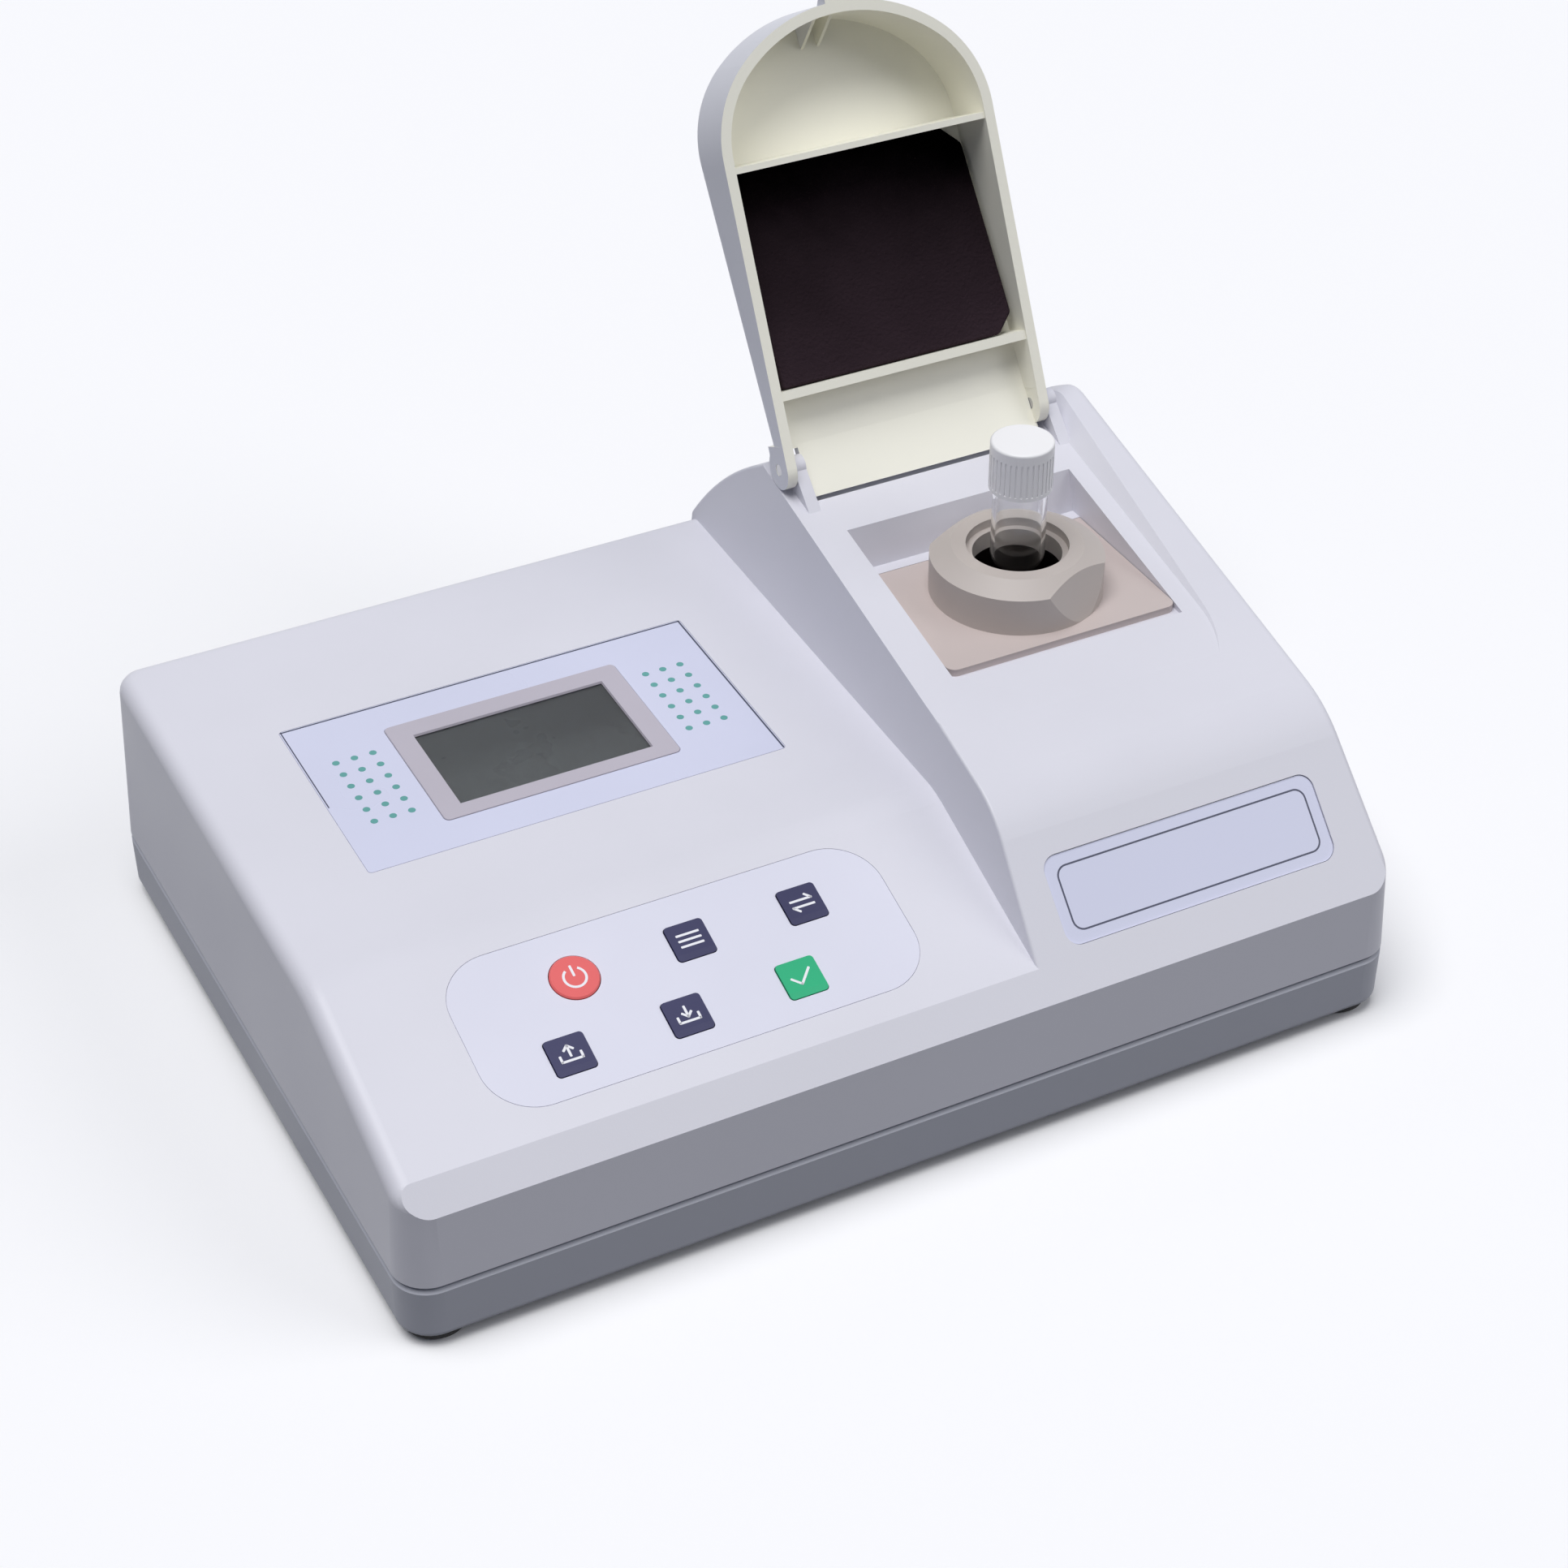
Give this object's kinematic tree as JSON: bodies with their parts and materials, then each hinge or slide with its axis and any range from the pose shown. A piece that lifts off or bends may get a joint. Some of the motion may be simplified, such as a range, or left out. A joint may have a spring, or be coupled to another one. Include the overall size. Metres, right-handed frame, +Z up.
{
  "type": "chemical oxygen demand analyzer",
  "caption": "Bench photometer with a sloped keypad console, a display window and a measuring tower whose arched lid hinges open over a vial well.",
  "frame": {"origin": "middle of the footprint of the instrument with its lid open, on the surface it stands on", "axes": "+Z up, +Y towards the back, +X to the right seen from the keypad"},
  "size_m": [0.268, 0.2136, 0.2115],
  "materials": {
    "case_grey_light": "fine satin texture",
    "case_grey_dark": "fine satin texture",
    "lid_cream": "satin",
    "plate_beige": "satin",
    "black_foam": "open cell foam",
    "black_plastic": "matt",
    "rubber_black": "matt",
    "sheet_lilac": "satin film",
    "bezel_grey": "satin",
    "clear_window": "polished",
    "lcd_dark": "glass face",
    "key_navy": "satin film",
    "key_green": "satin film",
    "key_red": "satin film",
    "vial_glass": "clear",
    "cap_white": "smooth",
    "liner_white": "smooth",
    "steel": "bright",
    "brass": "bright",
    "board_green": "solder mask",
    "ribbon_grey": "satin",
    "filter_glass": "coated"
  },
  "bodies": {
    "case": {"lower_shell": "case_grey_dark", "upper_shell": "case_grey_light", "window_overlay": "sheet_lilac", "lcd_bezel": "bezel_grey", "lcd_window": "clear_window", "lcd_module": "lcd_dark", "keypad_overlay": "sheet_lilac", "keypad_board": "board_green", "dome_switches": "steel", "label_plate": "sheet_lilac", "hinge_pins": "steel", "sample_plate": "plate_beige", "sample_collar": "plate_beige", "cell_well": "black_plastic", "lens_tube": "black_plastic", "lens": "clear_window", "beam_filter": "filter_glass", "lamp_board": "board_green", "lamp": "clear_window", "detector_board": "board_green", "photodiode": "steel", "main_board": "board_green", "board_parts": "black_plastic", "buzzer": "black_plastic", "standoffs": "brass", "board_screws": "steel", "case_screws": "steel", "feet": "rubber_black", "dc_jack": "black_plastic", "data_port": "steel", "ribbon_cable": "ribbon_grey"},
    "lid": {"lid_shell": "lid_cream", "lid_pad": "black_foam"},
    "carrier": {"cell_carrier": "black_plastic", "cell_spring": "steel"},
    "vial": {"vial_glass": "vial_glass"},
    "vial_cap": {"vial_cap": "cap_white", "cap_liner": "liner_white"},
    "key_power": {"key_power": "key_red"},
    "key_menu": {"key_menu": "key_navy"},
    "key_switch": {"key_switch": "key_navy"},
    "key_recall": {"key_recall": "key_navy"},
    "key_save": {"key_save": "key_navy"},
    "key_confirm": {"key_confirm": "key_green"}
  },
  "joints": [
    {"name": "lid_hinge", "type": "hinge", "parent": "case", "child": "lid", "pos_m": [0.07557, 0.04317, 0.10605], "axis": [-1, 0, 0], "range_deg": [-128.15, 0]},
    {"name": "carrier_slide", "type": "slide", "parent": "case", "child": "carrier", "axis": [0, 0, 1], "range_m": [-0.0322, 0], "deforming": ["cell_spring"]},
    {"name": "vial_lift", "type": "slide", "parent": "carrier", "child": "vial", "axis": [0, 0, 1], "range_m": [0, 0.075]},
    {"name": "cap_turn", "type": "hinge", "parent": "vial", "child": "vial_cap", "pos_m": [0.08, -0.00483, 0.12839], "axis": [0, 0, 1], "range_deg": [0, 540]},
    {"name": "key_power_press", "type": "slide", "parent": "case", "child": "key_power", "axis": [0, -0.3123, 0.95], "range_m": [-0.0004, 0], "stiffness_N_per_m": 800},
    {"name": "key_menu_press", "type": "slide", "parent": "case", "child": "key_menu", "axis": [0, -0.3123, 0.95], "range_m": [-0.0004, 0], "stiffness_N_per_m": 800},
    {"name": "key_switch_press", "type": "slide", "parent": "case", "child": "key_switch", "axis": [0, -0.3123, 0.95], "range_m": [-0.0004, 0], "stiffness_N_per_m": 800},
    {"name": "key_recall_press", "type": "slide", "parent": "case", "child": "key_recall", "axis": [0, -0.3123, 0.95], "range_m": [-0.0004, 0], "stiffness_N_per_m": 800},
    {"name": "key_save_press", "type": "slide", "parent": "case", "child": "key_save", "axis": [0, -0.3123, 0.95], "range_m": [-0.0004, 0], "stiffness_N_per_m": 800},
    {"name": "key_confirm_press", "type": "slide", "parent": "case", "child": "key_confirm", "axis": [0, -0.3123, 0.95], "range_m": [-0.0004, 0], "stiffness_N_per_m": 800}
  ],
  "couplings": [
    {"joint": "carrier_slide", "follows": "lid_hinge", "m_per_rad": 0.014307}
  ]
}
